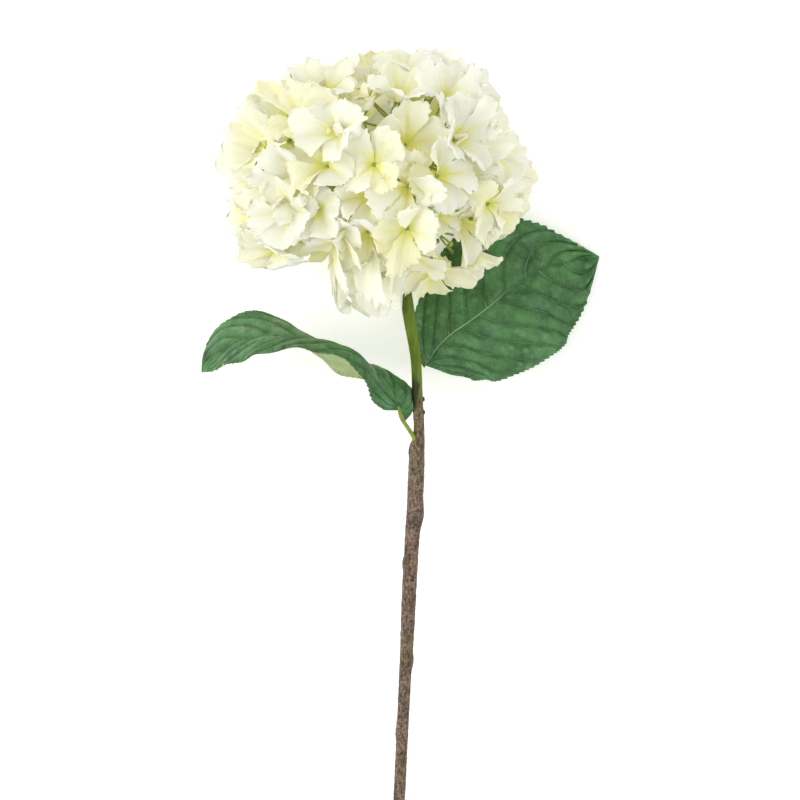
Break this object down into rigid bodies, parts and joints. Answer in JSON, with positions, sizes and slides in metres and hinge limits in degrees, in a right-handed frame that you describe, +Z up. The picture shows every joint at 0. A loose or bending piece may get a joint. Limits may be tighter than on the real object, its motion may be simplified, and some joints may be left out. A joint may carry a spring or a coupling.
{
  "type": "cut hydrangea",
  "caption": "Cut white mophead hydrangea on a woody stem with toothed leaves, lying on its side on a surface, for flower displays and still lifes",
  "frame": {"origin": "on the surface, under the middle of the lying flower", "axes": "+Y runs along the stem from its cut end to the flower head, +Z is up from the surface it lies on, and +X is to the side that the lower leaf lies on"},
  "size_m": [0.2631, 0.5359, 0.1673],
  "materials": {
    "petals": "soft ivory white petals, yellow-green at the base",
    "leaf": "semi-gloss veined green leaf",
    "stem": "matt brown bark, green towards the flower head"
  },
  "bodies": {
    "root": {"flower_head": "petals", "leaf_left": "leaf", "leaf_right": "leaf", "stem": "stem"}
  },
  "joints": []
}
